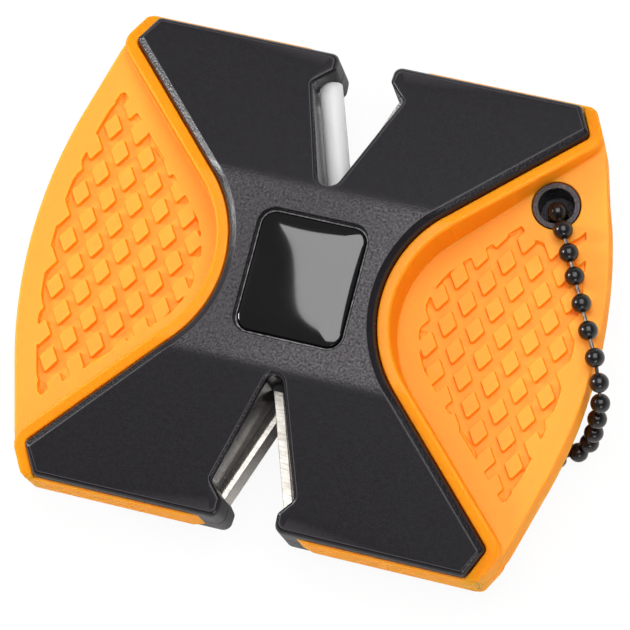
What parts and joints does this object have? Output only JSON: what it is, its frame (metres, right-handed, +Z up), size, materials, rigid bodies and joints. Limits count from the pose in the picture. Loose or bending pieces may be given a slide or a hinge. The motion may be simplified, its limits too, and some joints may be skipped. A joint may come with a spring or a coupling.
{
  "type": "pocket knife sharpener",
  "caption": "X-shaped pocket knife sharpener: black shells with V slots for crossed ceramic rods and carbide blades, orange diamond-textured grips, ball chain through an eyelet.",
  "frame": {"origin": "middle of the flat underside of the lower shell's hub", "axes": "+Z up through the hub, X across the two grips with the eyelet's wing at +X, Y along the two slots with the ceramic rods at +Y"},
  "size_m": [0.0773, 0.0622, 0.0223],
  "materials": {
    "black_plastic": "satin, fine grain on the hub",
    "orange_grip": "soft matt",
    "ceramic": "fine matt",
    "carbide": "ground",
    "badge": "high gloss dome",
    "screw_steel": "plated",
    "chain": "gloss black"
  },
  "bodies": {
    "body": {"upper_shell": "black_plastic", "lower_shell": "black_plastic", "upper_left_grip": "orange_grip", "upper_right_grip": "orange_grip", "lower_left_grip": "orange_grip", "lower_right_grip": "orange_grip", "ceramic_rod_left": "ceramic", "ceramic_rod_right": "ceramic", "carbide_blade_left": "carbide", "carbide_blade_right": "carbide", "badge_plate": "badge", "badge_dome": "badge", "screw_front_right": "screw_steel", "screw_front_left": "screw_steel", "screw_back_left": "screw_steel", "screw_back_right": "screw_steel"},
    "chain": {"chain_bead_01": "chain", "chain_bead_02": "chain", "chain_bead_03": "chain", "chain_bead_04": "chain", "chain_bead_05": "chain", "chain_bead_06": "chain", "chain_bead_07": "chain", "chain_bead_08": "chain", "chain_bead_09": "chain", "chain_bead_10": "chain", "chain_bead_11": "chain", "chain_bead_12": "chain", "chain_bead_13": "chain", "chain_bead_14": "chain", "chain_bead_15": "chain", "chain_bead_16": "chain", "chain_bead_17": "chain", "chain_bead_18": "chain", "chain_bead_19": "chain", "chain_bead_20": "chain", "chain_bead_21": "chain", "chain_bead_22": "chain", "chain_bead_23": "chain", "chain_bead_24": "chain", "chain_bead_25": "chain", "chain_bead_26": "chain", "chain_bead_27": "chain"},
    "coupling": {"chain_coupling": "chain"}
  },
  "joints": [
    {"name": "chain_swing", "type": "hinge", "parent": "body", "child": "chain", "pos_m": [0.0276, 0.0174, 0.011], "axis": [0, 0, 1], "range_deg": [0, 60]},
    {"name": "coupling_swivel", "type": "hinge", "parent": "chain", "child": "coupling", "pos_m": [0.0255, 0.0005, 0.0021], "axis": [0, 1, 0], "continuous": true}
  ]
}
